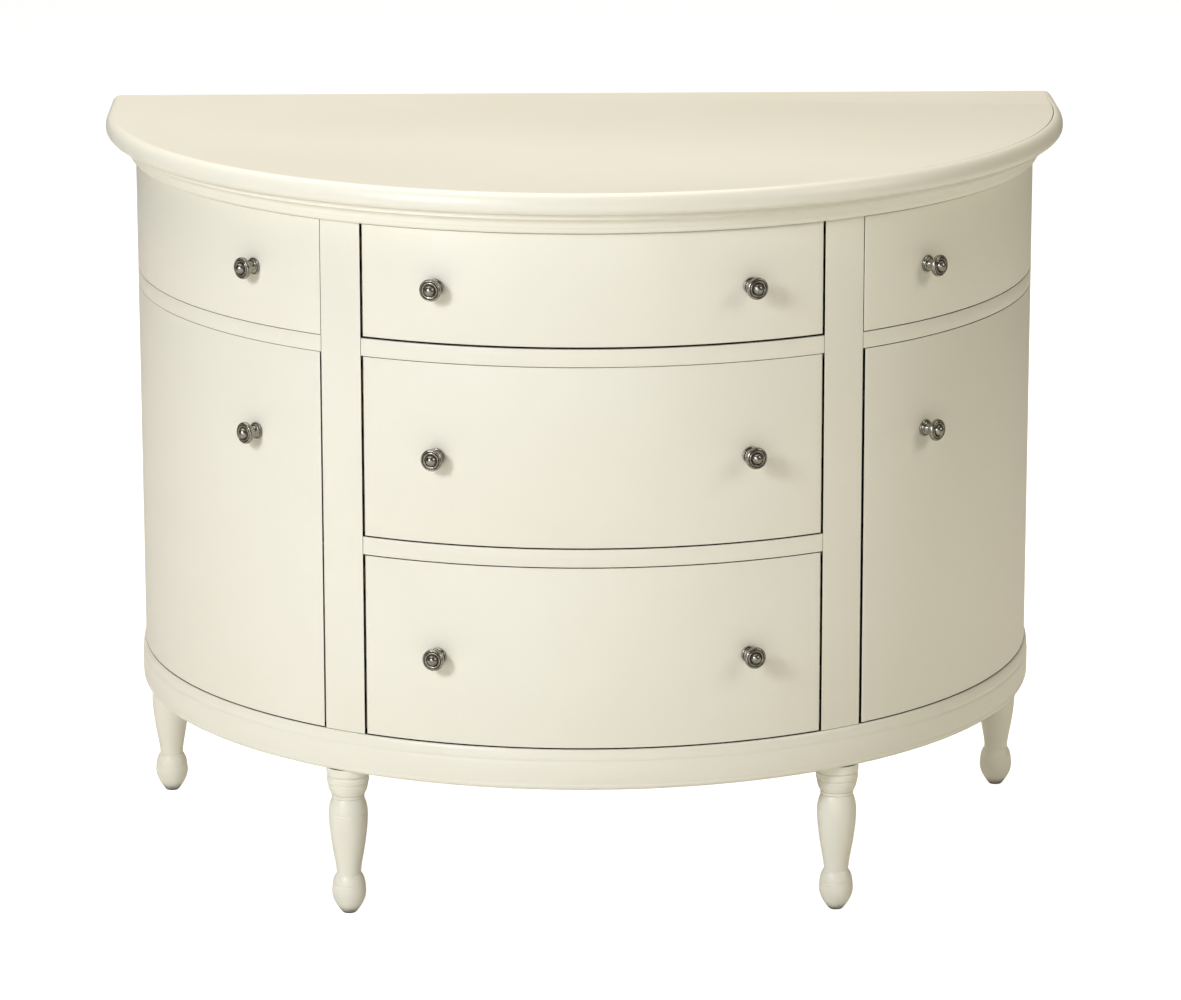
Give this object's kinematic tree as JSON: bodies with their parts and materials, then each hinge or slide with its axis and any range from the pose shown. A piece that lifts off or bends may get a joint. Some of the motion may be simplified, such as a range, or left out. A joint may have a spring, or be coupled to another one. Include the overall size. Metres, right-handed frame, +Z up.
{
  "type": "sideboard",
  "caption": "Half-round painted sideboard with bowed drawers between curved doors, side drawers above them, moulded top and apron, turned legs and dark metal knobs.",
  "frame": {"origin": "middle of the overall box in plan, on the floor under the feet", "axes": "+X along the straight back, to the viewer's right; +Y towards the wall behind; +Z up. The bowed front faces -Y"},
  "size_m": [1.204, 0.698, 0.9156],
  "materials": {
    "ivory_paint": "satin ivory paint over wood",
    "plain_wood": "bare waxed softwood",
    "aged_pewter": "cast knob, aged pewter patina",
    "brass": "plain turned and rolled brass",
    "catch_steel": "plated"
  },
  "bodies": {
    "carcase": {"top_panel": "ivory_paint", "top_edge_moulding": "ivory_paint", "cornice": "ivory_paint", "apron": "ivory_paint", "stile_left": "ivory_paint", "stile_right": "ivory_paint", "rear_post_left": "ivory_paint", "rear_post_right": "ivory_paint", "bottom_board": "ivory_paint", "back_panel": "ivory_paint", "partition_left": "ivory_paint", "partition_right": "ivory_paint", "centre_rail_lower": "ivory_paint", "centre_rail_upper": "ivory_paint", "dust_board_lower": "plain_wood", "dust_board_upper": "plain_wood", "side_rail_left": "ivory_paint", "side_rail_right": "ivory_paint", "side_deck_left": "plain_wood", "side_deck_right": "plain_wood", "shelf_left": "ivory_paint", "shelf_right": "ivory_paint", "leg_front_left": "ivory_paint", "leg_front_right": "ivory_paint", "leg_rear_left": "ivory_paint", "leg_rear_right": "ivory_paint", "door_pivot_upper_left": "brass", "door_pivot_lower_left": "brass", "door_pivot_upper_right": "brass", "door_pivot_lower_right": "brass", "door_catch_left": "catch_steel", "door_catch_right": "catch_steel"},
    "upper_drawer": {"drawer_upper_front": "ivory_paint", "drawer_upper_frame": "plain_wood", "drawer_upper_bottom": "plain_wood", "drawer_upper_knob_left": "aged_pewter", "drawer_upper_knob_right": "aged_pewter"},
    "middle_drawer": {"drawer_middle_front": "ivory_paint", "drawer_middle_frame": "plain_wood", "drawer_middle_bottom": "plain_wood", "drawer_middle_knob_left": "aged_pewter", "drawer_middle_knob_right": "aged_pewter"},
    "lower_drawer": {"drawer_lower_front": "ivory_paint", "drawer_lower_frame": "plain_wood", "drawer_lower_bottom": "plain_wood", "drawer_lower_knob_left": "aged_pewter", "drawer_lower_knob_right": "aged_pewter"},
    "left_side_drawer": {"side_drawer_left_front": "ivory_paint", "side_drawer_left_frame": "plain_wood", "side_drawer_left_bottom": "plain_wood", "side_drawer_left_knob": "aged_pewter"},
    "right_side_drawer": {"side_drawer_right_front": "ivory_paint", "side_drawer_right_frame": "plain_wood", "side_drawer_right_bottom": "plain_wood", "side_drawer_right_knob": "aged_pewter"},
    "left_door": {"door_left": "ivory_paint", "door_left_knob": "aged_pewter"},
    "right_door": {"door_right": "ivory_paint", "door_right_knob": "aged_pewter"}
  },
  "joints": [
    {"name": "upper_drawer_slide", "type": "slide", "parent": "carcase", "child": "upper_drawer", "axis": [0, -1, 0], "range_m": [0, 0.4]},
    {"name": "middle_drawer_slide", "type": "slide", "parent": "carcase", "child": "middle_drawer", "axis": [0, -1, 0], "range_m": [0, 0.4]},
    {"name": "lower_drawer_slide", "type": "slide", "parent": "carcase", "child": "lower_drawer", "axis": [0, -1, 0], "range_m": [0, 0.4]},
    {"name": "left_side_drawer_slide", "type": "slide", "parent": "carcase", "child": "left_side_drawer", "axis": [0, -1, 0], "range_m": [0, 0.33]},
    {"name": "right_side_drawer_slide", "type": "slide", "parent": "carcase", "child": "right_side_drawer", "axis": [0, -1, 0], "range_m": [0, 0.33]},
    {"name": "left_door_hinge", "type": "hinge", "parent": "carcase", "child": "left_door", "pos_m": [-0.555, 0.2875, 0.2385], "axis": [0, 0, -1], "range_deg": [0, 95]},
    {"name": "right_door_hinge", "type": "hinge", "parent": "carcase", "child": "right_door", "pos_m": [0.555, 0.2875, 0.2385], "axis": [0, 0, 1], "range_deg": [0, 95]}
  ]
}
